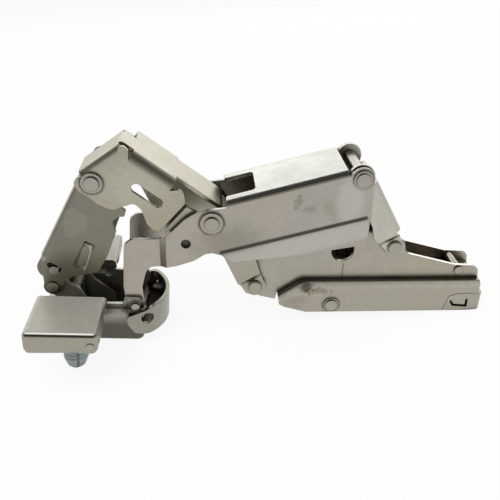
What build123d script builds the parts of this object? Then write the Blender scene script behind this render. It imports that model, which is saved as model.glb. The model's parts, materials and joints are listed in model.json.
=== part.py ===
"""Concealed cup hinge with seven pivots, shown at its open stop.

Frame: X runs from the cup (-X) to the rear end of the arm (+X), Y is the hinge's width,
+Z points away from the seat. The origin lies on the middle line of the seat with which the
casing rests on its mounting plate, above the casing's rivet. Side-view points (x, z) are measured from the knee pivot, and
points of the cup (u, w) along its flange and its axis. All sizes are millimetres.
"""
from build123d import *
from math import cos, degrees, hypot, radians, sin, atan2
import os

# ---------------------------------------------------------------- driving dimensions
SHEET = 1.2            # thickness of the pressed sheets
PLAY = 0.2             # side play between neighbouring sheets
RUN = 0.05             # radial running clearance of a pivot
BEND = 1.9             # outer radius of the bends
RAMP = 1.6             # length of the slope of a joggle

# pivots in side view; base pivots, knee and rear ears form a parallelogram
KNEE_PLACE = (-40.0, 25.0)
KNEE = (0.0, 0.0)
REAR_EAR = (45.5, 14.4)
BASE_FRONT = (14.5, -25.8)
BASE_REAR = (REAR_EAR[0] + BASE_FRONT[0], REAR_EAR[1] + BASE_FRONT[1])
ELBOW = (-35.1, 13.0)
CUP_PIVOT = (-24.8, -30.6)
LINK_PIVOT = (-51.1, -24.2)

# half widths over the outer faces of the sheets, from the inside out
ARM_HALF = 5.8
DISC_HALF = ARM_HALF + PLAY + SHEET
EAR_HALF = 7.4
LINK_HALF = EAR_HALF + PLAY + SHEET
INNER_HALF = LINK_HALF + PLAY + SHEET
ELBOW_HALF = INNER_HALF + PLAY + SHEET
LEVER_HALF = ELBOW_HALF + 0.4
CASING_HALF = 9.5

# rivets and axles
KNEE_R = 2.0
AXLE_R = 1.9
BASE_R = 1.6
PIN_R = 1.4
EYE = 3.3              # radius of the sheet round a main pivot
HEAD_T = 0.5

# casing and arm
SEAT_Z = -25.0         # seat of the casing, seen from the knee
CASING_REAR = 91.0
CASING_HEIGHT = 11.0

# cup
CUP_CENTRE = (-31.9, -32.2)
CUP_TILT = -2.5        # degrees between the flange and the arm
CUP_R = 17.5           # the bore in the door is 35
CUP_DEPTH = 11.3
CUP_HALF = ELBOW_HALF
FLANGE_HALF = 14.7
FLAP_HALF = 32.8
FLAP_INNER = LEVER_HALF + 0.1
WING_HALF = FLAP_HALF - SHEET - 0.4
WING_FRONT = -5.8
WING_REAR = -CUP_R - 4.5
DOWEL_OFFSET = 11.0    # dowel line behind the centre of the cup
DOWEL_SPACING = 42.0
DOWEL_R = 3.95         # slides into an 8 mm hole
DOWEL_NECK_R = DOWEL_R - 0.4    # waist in the flange
DOWEL_LENGTH = 13.4
FLAP_TOP = 5.7
FLAP_FRONT = -2.0
FLAP_REAR = -24.1
FLAP_PIN = (-4.3, 1.4)
FLAP_PIN_R = 1.25

FAR = 150.0            # reach of cutting tools
os.makedirs("parts", exist_ok=True)

KX, KZ = KNEE_PLACE
SIDE = Plane(origin=(KX, 0, KZ), x_dir=(1, 0, 0), z_dir=(0, -1, 0))
TILT = radians(CUP_TILT)
CUP_ORIGIN = (KX + CUP_CENTRE[0], 0, KZ + CUP_CENTRE[1])
CUP_SIDE = Plane(origin=CUP_ORIGIN, x_dir=(cos(TILT), 0, sin(TILT)), z_dir=(0, -1, 0))
DOOR = Plane(origin=CUP_ORIGIN, x_dir=(cos(TILT), 0, sin(TILT)), z_dir=(-sin(TILT), 0, cos(TILT)))


# ---------------------------------------------------------------- helpers
def in_cup(point):
    """Side-view point of the knee's frame, as (u, w) of the cup."""
    dx = point[0] - CUP_CENTRE[0]
    dz = point[1] - CUP_CENTRE[1]
    return (dx * cos(TILT) + dz * sin(TILT), dz * cos(TILT) - dx * sin(TILT))


def closed_line(points):
    """Closed outline from (x, z, corner radius) triples."""
    FilletPolyline(*[(p[0], p[1]) for p in points], radius=[p[2] for p in points], close=True)


def side_face(points, eyes=(), x_min=-FAR, x_max=FAR, plane=SIDE):
    """Side-view face of an outline joined with round eyes (centre, radius), cut to a window."""
    with BuildSketch(plane, mode=Mode.PRIVATE) as face:
        with BuildLine():
            closed_line(points)
        make_face()
        for centre, radius in eyes:
            with Locations(centre):
                Circle(radius)
        with Locations(((x_min + x_max) / 2, 0)):
            Rectangle(x_max - x_min, 2 * FAR, mode=Mode.INTERSECT)
    return face.sketch


def crease_plane(point, angle):
    """Plane across a crease: local x is the left normal of its direction, local y is -Y."""
    a = radians(angle)
    origin = (KX + point[0], 0, KZ + point[1])
    return Plane(origin=origin, x_dir=(-sin(a), 0, cos(a)), z_dir=(cos(a), 0, sin(a)))


def joggled_plate(face, point, angle, half_right, half_left, ramp=RAMP, thickness=SHEET):
    """Near plate of a side-view face whose level steps between two half widths along a crease."""
    with BuildPart(mode=Mode.PRIVATE) as plate:
        with BuildSketch(crease_plane(point, angle)):
            with BuildLine():
                closed_line([
                    (-FAR, half_right, 0), (-ramp / 2, half_right, 0.4),
                    (ramp / 2, half_left, 0.4), (FAR, half_left, 0),
                    (FAR, half_left - thickness, 0), (ramp / 2, half_left - thickness, 0.4),
                    (-ramp / 2, half_right - thickness, 0.4), (-FAR, half_right - thickness, 0)])
            make_face()
        extrude(amount=FAR, both=True)
        extrude(face, amount=3 * CASING_HALF, mode=Mode.INTERSECT)
    return plate.part


def flat_plate(face, half, thickness=SHEET):
    """Near plate of a side-view face with its outer side at a half width."""
    with BuildPart(mode=Mode.PRIVATE) as plate:
        extrude(Location((0, thickness - half, 0)) * face, amount=thickness)
    return plate.part


def bent_web(start, end, half, leg, plane=SIDE, thickness=SHEET, bend=BEND):
    """Web and its two bends between two side-view points; the outer side lies left of travel."""
    along = plane.from_local_coords(Vector(end[0], end[1])) - plane.from_local_coords(Vector(start[0], start[1]))
    section = Plane(
        origin=plane.from_local_coords(Vector(start[0], start[1])),
        x_dir=Vector(-along.Z, 0, along.X), z_dir=along)
    with BuildPart(mode=Mode.PRIVATE) as web:
        with BuildSketch(section):
            with BuildLine():
                closed_line([
                    (-leg, -half, 0), (0, -half, bend), (0, half, bend), (-leg, half, 0),
                    (-leg, half - thickness, 0), (-thickness, half - thickness, bend - thickness),
                    (-thickness, thickness - half, bend - thickness), (-leg, thickness - half, 0)])
            make_face()
        extrude(amount=along.length)
    return web.part


def strip(points, half, plane=SIDE, thickness=SHEET):
    """Folded strip along (x, z, outer radius) points, its thickness right of travel."""
    with BuildPart(mode=Mode.PRIVATE) as folded:
        with BuildSketch(plane):
            with BuildLine():
                FilletPolyline(*[(p[0], p[1]) for p in points], radius=[p[2] for p in points[1:-1]])
                offset(amount=thickness, side=Side.RIGHT)
            make_face()
        extrude(amount=half, both=True)
    return folded.part


def cross_hole(centre, radius, plane=SIDE):
    """Round tool through the whole width."""
    with BuildPart(mode=Mode.PRIVATE) as tool:
        with BuildSketch(plane):
            with Locations(centre):
                Circle(radius)
        extrude(amount=2 * WING_HALF, both=True)
    return tool.part


def near_rod(centre, radius, inner, outer, plane=SIDE):
    """Round rod on the near side between two half widths."""
    with BuildPart(mode=Mode.PRIVATE) as rod:
        with BuildSketch(plane.offset(inner)):
            with Locations(centre):
                Circle(radius)
        extrude(amount=outer - inner)
    return rod.part


def slot_tool(start, end, width, plane=SIDE):
    """Obround tool through the whole width."""
    centre = ((start[0] + end[0]) / 2, (start[1] + end[1]) / 2)
    length = hypot(end[0] - start[0], end[1] - start[1])
    with BuildPart(mode=Mode.PRIVATE) as tool:
        with BuildSketch(plane):
            with Locations(Location((centre[0], centre[1]), degrees(atan2(end[1] - start[1], end[0] - start[0])))):
                SlotOverall(length + width, width)
        extrude(amount=2 * WING_HALF, both=True)
    return tool.part


def near_rivet(centre, radius, inner, outer, head_r, button_r, button_t=0.7):
    """Near rivet: shank from inner to outer half width, collar and button outside."""
    with BuildPart(mode=Mode.PRIVATE) as rivet:
        add(near_rod(centre, radius, inner, outer))
        add(near_rod(centre, head_r, outer, outer + HEAD_T))
        add(near_rod(centre, button_r, outer + HEAD_T, outer + HEAD_T + button_t))
    return rivet.part


# ---------------------------------------------------------------- casing
SLOPE_TOP = (30.0, SEAT_Z + SHEET)
SLOPE_FOOT = (22.2, -29.1)
CASING_LOW = SEAT_Z + SHEET - CASING_HEIGHT
casing_line = [
    (SLOPE_FOOT[0], SLOPE_FOOT[1], 0), (22.6, -31.7, 0.8), (24.2, -32.6, 2.0), (31.8, CASING_LOW, 2.0),
    (CASING_REAR - 3.2, CASING_LOW, 0.6), (CASING_REAR - 1.4, CASING_LOW + 2.5, 1.0),
    (CASING_REAR, SEAT_Z + SHEET, 0), (SLOPE_TOP[0], SLOPE_TOP[1], 6.0)]
AXLE_PLACE = (40.2, -31.8)
CATCH_PLAY = 0.15
SIDE_SCREW_X = 52.0
DEPTH_SCREW_X = 72.0
SCREW_R = 1.8
CATCH_FROM = CASING_REAR - 11.7
CATCH_TOP = SEAT_Z - 3.1
TAB_X = CATCH_FROM + 1.3
catch_line = [
    (CATCH_FROM, CASING_LOW, 0), (CATCH_FROM + 1.4, CATCH_TOP - 1.1, 1.0), (CATCH_FROM + 4.4, CATCH_TOP, 1.0),
    (CASING_REAR + SHEET, CATCH_TOP, 0), (CASING_REAR + SHEET, CASING_LOW, 0)]

with BuildPart() as casing:
    extrude(side_face(casing_line), amount=CASING_HALF, both=True)
    rim = casing.edges().filter_by(lambda e: abs(abs(e.center().Y) - CASING_HALF) < 0.01)
    fillet(rim.filter_by(lambda e: e.center().Z > KZ + SLOPE_FOOT[1] + 1.5 and e.center().X < KX + 80), BEND)
    with BuildSketch(SIDE):
        with BuildLine():
            closed_line([
                (SLOPE_FOOT[0] + 2.0, SLOPE_FOOT[1] - 0.1, 0), (SLOPE_TOP[0], SEAT_Z, 5.0),
                (FAR, SEAT_Z, 0), (FAR, -FAR, 0), (SLOPE_FOOT[0] - FAR, -FAR, 0),
                (SLOPE_FOOT[0] - 20.0, SLOPE_FOOT[1] - 15.6, 0)])
        make_face()
    extrude(amount=CASING_HALF - SHEET, both=True, mode=Mode.SUBTRACT)
    with BuildSketch(SIDE):
        with BuildLine():
            closed_line([(x - CATCH_PLAY, z + CATCH_PLAY, r) for x, z, r in catch_line[:3]] + [
                (FAR, CATCH_TOP + CATCH_PLAY, 0), (FAR, CASING_LOW - 9, 0),
                (CATCH_FROM - CATCH_PLAY, CASING_LOW - 9, 0)])
        make_face()
    extrude(amount=2 * CASING_HALF, both=True, mode=Mode.SUBTRACT)
    add(cross_hole(AXLE_PLACE, PIN_R), mode=Mode.SUBTRACT)
    with BuildSketch(Plane.XY.offset(KZ + SEAT_Z - 1)):
        with Locations((KX + SIDE_SCREW_X, 0), (KX + DEPTH_SCREW_X, 0)):
            Circle(SCREW_R)
    extrude(amount=4, mode=Mode.SUBTRACT)
    with BuildSketch(SIDE):
        with Locations((TAB_X, SEAT_Z - 1.0)):
            Rectangle(SHEET, 2.6)
    extrude(amount=CASING_HALF - SHEET, both=True)
    with BuildSketch(SIDE):
        with Locations((TAB_X, SEAT_Z - 3.6)):
            Rectangle(SHEET, 7.6)
    extrude(amount=2.5, both=True)
casing.part.label = "casing"
export_step(casing.part, "parts/casing.step")

# ---------------------------------------------------------------- arm
WALL_TOP = -6.5
arm_line = [
    (11.5, -23.5, 2.5), (12.5, -28.6, 2.0), (16.3, -30.4, 2.0), (21.6, -31.8, 0.5),
    (22.0, SLOPE_FOOT[1] - 0.08, 0), (SLOPE_TOP[0] - 0.06, SLOPE_TOP[1], 6.0), (CASING_REAR, SLOPE_TOP[1], 0),
    (90.5, -20.6, 1.2), (88.6, -19.3, 1.0), (82.0, -18.9, 4.0), (64.5, -14.3, 2.5), (63.5, -9.5, 1.5),
    (58.5, -8.0, 4.0), (52.0, WALL_TOP, 4.0), (14.0, WALL_TOP, 2.5)]
REAR_RIVET_PLACE = (DEPTH_SCREW_X + 11.6, -20.8)
SCREW_HEAD_R = 3.4

with BuildPart() as arm_channel:
    add(flat_plate(side_face(arm_line), ARM_HALF))
    mirror(about=Plane.XZ)
    add(strip([
        (SLOPE_FOOT[0] - 0.67, SLOPE_FOOT[1] + 1.05, 0),
        (SLOPE_TOP[0] - 0.43, SLOPE_TOP[1] + SHEET, 6.0 + SHEET),
        (CASING_REAR - 1.5, SLOPE_TOP[1] + SHEET, 0)], ARM_HALF - SHEET))
    add(cross_hole(BASE_FRONT, BASE_R), mode=Mode.SUBTRACT)
    add(cross_hole(BASE_REAR, BASE_R), mode=Mode.SUBTRACT)
    add(cross_hole(REAR_RIVET_PLACE, PIN_R), mode=Mode.SUBTRACT)
    add(slot_tool((43.2, -13.4), (43.2, -12.8), 7.6), mode=Mode.SUBTRACT)
    with BuildSketch(Plane.XY.offset(KZ + SLOPE_TOP[1] - 1)):
        with Locations((KX + SIDE_SCREW_X, 0), (KX + DEPTH_SCREW_X, 0)):
            Circle(SCREW_R)
    extrude(amount=4, mode=Mode.SUBTRACT)
arm_channel.part.label = "arm_channel"
export_step(arm_channel.part, "parts/arm_channel.step")


def floor_screw(x, tip):
    """Screw through the floor of the arm, with a cross slot in its head."""
    with BuildPart(mode=Mode.PRIVATE) as screw:
        with BuildSketch(Plane.XY.offset(KZ + SLOPE_TOP[1] + SHEET)):
            with Locations((KX + x, 0)):
                Circle(SCREW_HEAD_R)
        extrude(amount=2.0)
        with BuildSketch(Plane.XY.offset(KZ + tip)):
            with Locations((KX + x, 0)):
                Circle(SCREW_R)
        extrude(amount=SLOPE_TOP[1] + SHEET - tip)
        with BuildSketch(Plane.XY.offset(KZ + SLOPE_TOP[1] + SHEET + 0.9)):
            with Locations((KX + x, 0)):
                Rectangle(4.4, 0.9)
                Rectangle(0.9, 4.4)
        extrude(amount=2.0, mode=Mode.SUBTRACT)
    return screw.part


with BuildPart() as side_screw:
    add(floor_screw(SIDE_SCREW_X, SEAT_Z))
side_screw.part.label = "side_screw"
export_step(side_screw.part, "parts/side_screw.step")

with BuildPart() as depth_screw:
    add(floor_screw(DEPTH_SCREW_X, SEAT_Z))
depth_screw.part.label = "depth_screw"
export_step(depth_screw.part, "parts/depth_screw.step")

with BuildPart() as casing_rivet:
    with BuildSketch(SIDE):
        with Locations(AXLE_PLACE):
            Circle(PIN_R)
    extrude(amount=CASING_HALF, both=True)
    add(near_rod(AXLE_PLACE, 2.5, CASING_HALF, CASING_HALF + 0.3))
    add(near_rod(AXLE_PLACE, 1.9, CASING_HALF + 0.3, CASING_HALF + 0.8))
    mirror(about=Plane.XZ)
casing_rivet.part.label = "casing_rivet"
export_step(casing_rivet.part, "parts/casing_rivet.step")

with BuildPart() as rear_rivet:
    with BuildSketch(SIDE):
        with Locations(REAR_RIVET_PLACE):
            Circle(PIN_R)
    extrude(amount=ARM_HALF + 0.6, both=True)
rear_rivet.part.label = "rear_rivet"
export_step(rear_rivet.part, "parts/rear_rivet.step")

with BuildPart() as base_front_rivets:
    add(near_rivet(BASE_FRONT, BASE_R, ARM_HALF - SHEET, DISC_HALF + RUN, 2.2, 1.9, 0.3))
    mirror(about=Plane.XZ)
base_front_rivets.part.label = "base_front_rivets"
export_step(base_front_rivets.part, "parts/base_front_rivets.step")

with BuildPart() as base_rear_rivets:
    add(near_rivet(BASE_REAR, BASE_R, ARM_HALF - SHEET, DISC_HALF + RUN, 2.4, 2.1, 0.3))
    mirror(about=Plane.XZ)
base_rear_rivets.part.label = "base_rear_rivets"
export_step(base_rear_rivets.part, "parts/base_rear_rivets.step")

# ---------------------------------------------------------------- rear catch
CATCH_BACK = CASING_REAR + PLAY + SHEET
hook_slot = [
    (CATCH_FROM + 2.3, CATCH_TOP - 3.1), (CATCH_FROM + 3.3, CATCH_TOP - 4.5), (CATCH_FROM + 7.9, CATCH_TOP - 4.9),
    (CATCH_FROM + 7.8, CATCH_TOP - 2.6)]

with BuildPart() as rear_catch:
    cheek_line = catch_line[:3] + [(CASING_REAR - 0.7, CATCH_TOP, 0), (CASING_REAR - 0.7, CASING_LOW, 0)]
    add(flat_plate(side_face(cheek_line), CASING_HALF))
    mirror(about=Plane.XZ)
    add(bent_web((CATCH_BACK, CATCH_TOP), (CATCH_BACK, CASING_LOW), CASING_HALF, 3.0))
    add(strip([
        (CATCH_BACK - 8.4, SEAT_Z - 0.4, 0), (CATCH_BACK, SEAT_Z - 0.4, 1.6), (CATCH_BACK, CATCH_TOP - 1.4, 0)], 5.0))
    for start, end in zip(hook_slot, hook_slot[1:]):
        add(slot_tool(start, end, 0.9), mode=Mode.SUBTRACT)
rear_catch.part.label = "rear_catch"
export_step(rear_catch.part, "parts/rear_catch.step")

# ---------------------------------------------------------------- main lever
LEVER_TOP = [(4.2, 6.8), (41.0, 16.8)]
BEND_DROP = BEND + 0.06
NOTCH_END = 13.6
LEVER_SPLIT = 2.5
STRIP_HALF = ELBOW_HALF
lever_line = [
    (-17.3, -6.4, 1.5), (-15.2, -6.1, 0.6), (-13.9, -4.7, 2.0), (-8.3, 1.1, 3.0), (-5.3, 3.0, 3.0),
    (-1.8, 4.1, 3.0), (LEVER_TOP[0][0], LEVER_TOP[0][1] - BEND_DROP, 0.5),
    (LEVER_TOP[1][0], LEVER_TOP[1][1] - BEND_DROP, 1.0), (42.5, 16.6, 1.0), (REAR_EAR[0], REAR_EAR[1] + 3.4, 0.5),
    (REAR_EAR[0] + 3.5, REAR_EAR[1], 1.0), (49.2, 1.7, 2.0), (49.3, -3.4, 2.0), (48.7, -6.0, 2.0),
    (45.3, -8.6, 2.5), (30.0, -11.3, 4.0), (6.6, -14.1, 0.8), (2.5, -11.2, 0.8), (0.2, -10.5, 1.5),
    (-1.9, -10.8, 2.0), (-5.5, -13.2, 4.0), (-10.8, -15.0, 4.0), (-16.4, -16.1, 1.0), (-19.2, -16.3, 1.4),
    (-20.9, -18.0, 2.0), (-22.4, -23.6, 2.0), (-22.0, -28.8, 1.0), (-27.8, -29.4, 1.0), (-28.4, -23.6, 3.0),
    (-27.4, -8.4, 2.2), (-25.0, -6.5, 2.0)]
lever_eyes = [(REAR_EAR, 3.6), (CUP_PIVOT, 3.4)]

with BuildPart() as main_lever:
    add(joggled_plate(
        side_face(lever_line, lever_eyes, x_max=LEVER_SPLIT), (-15.2, 0.0), 90, LEVER_HALF, INNER_HALF, ramp=2.0))
    add(joggled_plate(
        side_face(lever_line, lever_eyes, x_min=LEVER_SPLIT), (2.9, -10.2), 14.9, STRIP_HALF, LEVER_HALF, ramp=0.8))
    mirror(about=Plane.XZ)
    add(bent_web(LEVER_TOP[0], LEVER_TOP[1], LEVER_HALF, 3.0))
    with BuildSketch(SIDE):
        with Locations((NOTCH_END - 10.0, 8.0)):
            Rectangle(20.0, 10.0)
    extrude(amount=LEVER_HALF - SHEET, both=True, mode=Mode.SUBTRACT)
    add(cross_hole(KNEE, KNEE_R), mode=Mode.SUBTRACT)
    add(cross_hole(REAR_EAR, AXLE_R), mode=Mode.SUBTRACT)
    add(cross_hole(CUP_PIVOT, PIN_R + RUN), mode=Mode.SUBTRACT)
    add(cross_hole((-8.0, -7.2), 1.55), mode=Mode.SUBTRACT)
main_lever.part.label = "main_lever"
export_step(main_lever.part, "parts/main_lever.step")

with BuildPart() as knee_rivets:
    add(near_rivet(KNEE, KNEE_R, INNER_HALF - SHEET, LEVER_HALF, 3.5, 2.1))
    mirror(about=Plane.XZ)
knee_rivets.part.label = "knee_rivets"
export_step(knee_rivets.part, "parts/knee_rivets.step")

with BuildPart() as rear_axle:
    with BuildSketch(SIDE):
        with Locations(REAR_EAR):
            Circle(AXLE_R)
    extrude(amount=LEVER_HALF, both=True)
    add(near_rod(REAR_EAR, 2.9, LEVER_HALF, LEVER_HALF + HEAD_T))
    add(near_rod(REAR_EAR, 2.1, LEVER_HALF + HEAD_T, LEVER_HALF + HEAD_T + 0.5))
    mirror(about=Plane.XZ)
rear_axle.part.label = "rear_axle"
export_step(rear_axle.part, "parts/rear_axle.step")

# ---------------------------------------------------------------- rear link
LINK_WEB = [(50.9, 12.7), (60.3, -3.5)]
INSET = (-1.6, -0.93)  # from the outside of the rear link's web to the end of its bends
rear_line = [
    (42.0, 13.0, 2.0), (46.0, 17.6, 2.5), (LINK_WEB[0][0] + INSET[0], LINK_WEB[0][1] + INSET[1], 1.0),
    (LINK_WEB[1][0] + INSET[0], LINK_WEB[1][1] + INSET[1], 1.0), (60.9, -6.6, 1.5),
    (62.8, -10.5, 1.0), (57.6, -13.2, 1.0), (55.3, -10.7, 1.5), (51.9, -6.7, 3.0), (50.8, -2.5, 3.0), (46.0, 6.0, 4.0)]
rear_eyes = [(REAR_EAR, 4.0), (BASE_REAR, 3.1)]
REAR_CREASE = (BASE_REAR[0] - 2.2, BASE_REAR[1] + 3.9)

with BuildPart() as rear_link:
    add(joggled_plate(side_face(rear_line, rear_eyes), REAR_CREASE, 29.3, DISC_HALF, INNER_HALF, ramp=2.6))
    mirror(about=Plane.XZ)
    add(bent_web(LINK_WEB[0], LINK_WEB[1], INNER_HALF, 3.0))
    add(cross_hole(REAR_EAR, AXLE_R + RUN), mode=Mode.SUBTRACT)
    add(cross_hole(BASE_REAR, BASE_R + RUN), mode=Mode.SUBTRACT)
rear_link.part.label = "rear_link"
export_step(rear_link.part, "parts/rear_link.step")

# ---------------------------------------------------------------- boomerang lever
LEFT_WEB = [(-38.8, 16.2), (-26.9, 24.56)]
RIGHT_WEB = [(-22.6, 22.2), (-10.5, 13.4)]
RIGHT_BEND = 3.5
TONGUE_END = (3.3, 3.35)
TONGUE_HALF = 7.2
LIP_REACH = 1.5        # how far the left web reaches beyond the middle
boom_line = [
    (-40.4, 13.0, 1.0), (-39.3, 14.6, 0.6), (-37.8, 14.7, 0.8), (-27.0, 22.3, 0.5), (-26.6, 24.0, 0.5),
    (-25.2, 24.3, 1.0), (-23.9, 22.9, 0.5), (-24.2, 19.2, 0.5), (-12.3, 10.5, 0.5), (-9.4, 10.8, 1.0),
    (-8.2, 9.3, 2.0), (-7.8, 4.6, 2.0), (-4.0, 2.6, 1.0), (1.0, 2.9, 1.0), (4.2, 0.0, 2.0), (13.5, -12.0, 3.0),
    (14.4, -15.0, 3.0), (16.3, -20.9, 3.0), (17.7, -25.5, 1.5), (16.0, -29.0, 1.5), (11.6, -28.6, 1.5), (9.4, -25.0, 2.0),
    (3.8, -12.6, 2.0), (2.0, -10.3, 1.0), (-10.0, -6.0, 2.0), (-13.0, -3.5, 1.5), (-18.0, -2.4, 1.8),
    (-19.6, -0.6, 1.5), (-21.2, 4.4, 2.0), (-23.2, 6.4, 1.8), (-27.0, 5.2, 2.0), (-30.0, 4.1, 3.0),
    (-33.8, 6.0, 3.0), (-36.0, 8.2, 3.0), (-39.2, 10.3, 2.0)]
boom_eyes = [(KNEE, EYE), (BASE_FRONT, 3.5)]
BASE_CREASE = (BASE_FRONT[0] - 2.0, BASE_FRONT[1] + 3.4)

with BuildPart() as boomerang_lever:
    add(joggled_plate(
        side_face(boom_line, boom_eyes, x_max=0), (-11.8, 0.95), 48.7, INNER_HALF, ELBOW_HALF, ramp=1.4))
    add(joggled_plate(
        side_face(boom_line, boom_eyes, x_min=0), BASE_CREASE, 30.4, DISC_HALF, INNER_HALF, ramp=2.6))
    mirror(about=Plane.XZ)
    add(bent_web(LEFT_WEB[0], LEFT_WEB[1], ELBOW_HALF, 3.0))
    add(strip([(-28.5, 23.44, 0), (-26.36, 24.94, 2.0), (-20.5, 20.67, 0)], ELBOW_HALF - RIGHT_BEND))
    with BuildSketch(SIDE.offset(-LIP_REACH)):
        with BuildLine():
            closed_line([(-42.0, 11.4, 0), (-27.5, 21.9, 0), (-21.6, 17.8, 0), (-21.6, 30.0, 0), (-42.0, 30.0, 0)])
        make_face()
    extrude(amount=-ELBOW_HALF, mode=Mode.SUBTRACT)
    add(bent_web(RIGHT_WEB[0], RIGHT_WEB[1], ELBOW_HALF, RIGHT_BEND + 1.2, bend=RIGHT_BEND))
    add(strip([(-13.0, 15.22, 0), (TONGUE_END[0], TONGUE_END[1], 1.6), (TONGUE_END[0] + 0.2, 1.9, 0)], TONGUE_HALF))
    add(slot_tool((-22.3, 11.2), (-16.0, 6.5), 3.0), mode=Mode.SUBTRACT)
    add(cross_hole(ELBOW, KNEE_R), mode=Mode.SUBTRACT)
    add(cross_hole(KNEE, KNEE_R + RUN), mode=Mode.SUBTRACT)
    add(cross_hole(BASE_FRONT, BASE_R + RUN), mode=Mode.SUBTRACT)
boomerang_lever.part.label = "boomerang_lever"
export_step(boomerang_lever.part, "parts/boomerang_lever.step")

with BuildPart() as elbow_rivets:
    add(near_rivet(ELBOW, KNEE_R, ELBOW_HALF - SHEET, ELBOW_HALF, 3.2, 2.1))
    mirror(about=Plane.XZ)
elbow_rivets.part.label = "elbow_rivets"
export_step(elbow_rivets.part, "parts/elbow_rivets.step")

# ---------------------------------------------------------------- front link
FRONT_WEB = [(-53.7, -12.7), (-40.8, 11.3)]
CAM_PLACE = (-50.1, -18.2)
CAM_CENTRE = (-52.0, -18.8)
CAM_R = 4.0
ELBOW_BUSH_R = 1.7     # kept small, so that the elbow clears the web of the lever above it
front_line = [
    (-52.0, -13.6, 1.0), (-53.6, -15.2, 0.8), (-53.7, -20.7, 3.0), (-53.7, -25.0, 1.0), (-50.4, -26.9, 1.0),
    (-48.3, -25.0, 1.0), (-46.8, -21.9, 2.0), (-44.3, -20.5, 3.0), (-36.2, -19.0, 2.5), (-32.5, -12.3, 3.0),
    (-29.6, -4.7, 1.5), (-30.6, -1.1, 1.0), (-28.5, 0.7, 1.0), (-26.7, 0.7, 0.6), (-26.1, 2.6, 0.6),
    (-27.6, 3.9, 1.5), (-33.4, 12.0, 0.8), (-36.8, 12.9, 0.8), (-39.0, 10.4, 0.8)]
front_eyes = [(ELBOW, ELBOW_BUSH_R), (LINK_PIVOT, 2.9)]

with BuildPart() as front_link:
    add(flat_plate(side_face(front_line, front_eyes), LINK_HALF))
    with BuildSketch(SIDE.offset(LINK_HALF - 0.35)):
        with BuildLine():
            closed_line([(-39.5, -7.5, 0.5), (-36.3, -9.3, 0.5), (-41.5, -17.9, 0.5), (-43.9, -16.4, 0.5)])
        make_face()
    extrude(amount=SHEET, mode=Mode.SUBTRACT)
    mirror(about=Plane.XZ)
    add(bent_web(FRONT_WEB[0], FRONT_WEB[1], LINK_HALF, 3.0))
    add(cross_hole(CAM_PLACE, PIN_R), mode=Mode.SUBTRACT)
    add(slot_tool((-51.0, -16.2), (-48.6, -17.8), 2.0), mode=Mode.SUBTRACT)
    add(cross_hole(LINK_PIVOT, PIN_R + RUN), mode=Mode.SUBTRACT)
front_link.part.label = "front_link"
export_step(front_link.part, "parts/front_link.step")

with BuildPart() as elbow_bushes:
    add(near_rod(ELBOW, ELBOW_BUSH_R, LINK_HALF, INNER_HALF))
    mirror(about=Plane.XZ)
elbow_bushes.part.label = "elbow_bushes"
export_step(elbow_bushes.part, "parts/elbow_bushes.step")

with BuildPart() as cam_axle:
    with BuildSketch(SIDE):
        with Locations(CAM_PLACE):
            Circle(PIN_R)
    extrude(amount=LINK_HALF, both=True)
cam_axle.part.label = "cam_axle"
export_step(cam_axle.part, "parts/cam_axle.step")

with BuildPart() as closing_cam:
    with BuildSketch(SIDE):
        with Locations(CAM_CENTRE):
            Circle(CAM_R)
        with Locations(CAM_PLACE):
            Circle(PIN_R, mode=Mode.SUBTRACT)
    extrude(amount=EAR_HALF - SHEET - PLAY, both=True)
closing_cam.part.label = "closing_cam"
export_step(closing_cam.part, "parts/closing_cam.step")

# ---------------------------------------------------------------- cup
TUB_FRONT = 9.6
TUB_REAR = -CUP_R
CUT_REAR = TUB_REAR - SHEET
link_uw = in_cup(LINK_PIVOT)
EAR_OUTER = WING_HALF - SHEET
EAR_INNER = 16.4


def tub_face(inset):
    """Plan of the tub in the door's face, drawn in by an inset."""
    with BuildSketch(Plane.XY, mode=Mode.PRIVATE) as face:
        Circle(CUP_R - inset)
        with Locations(((TUB_FRONT + TUB_REAR) / 2, 0)):
            RectangleRounded(TUB_FRONT - TUB_REAR - 2 * inset, 2 * (CUP_HALF - inset), 2.4 - inset, mode=Mode.INTERSECT)
    return face.sketch


cup_cheek = [
    (-2.6, -3.0, 0), (-2.6, 3.0, 0.5), (3.0, 3.0, 0.6), (3.6, 5.1, 0.6), (TUB_FRONT - 0.2, 5.1, 1.2),
    (TUB_FRONT - 2.4, -3.0, 0)]
hook_line = [(-7.6, 0.2, 0), (-7.6, 2.4, 1.0), (-6.4, 3.5, 0.8), (-4.6, 3.5, 0.3), (-4.6, 0.2, 0)]

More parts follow.
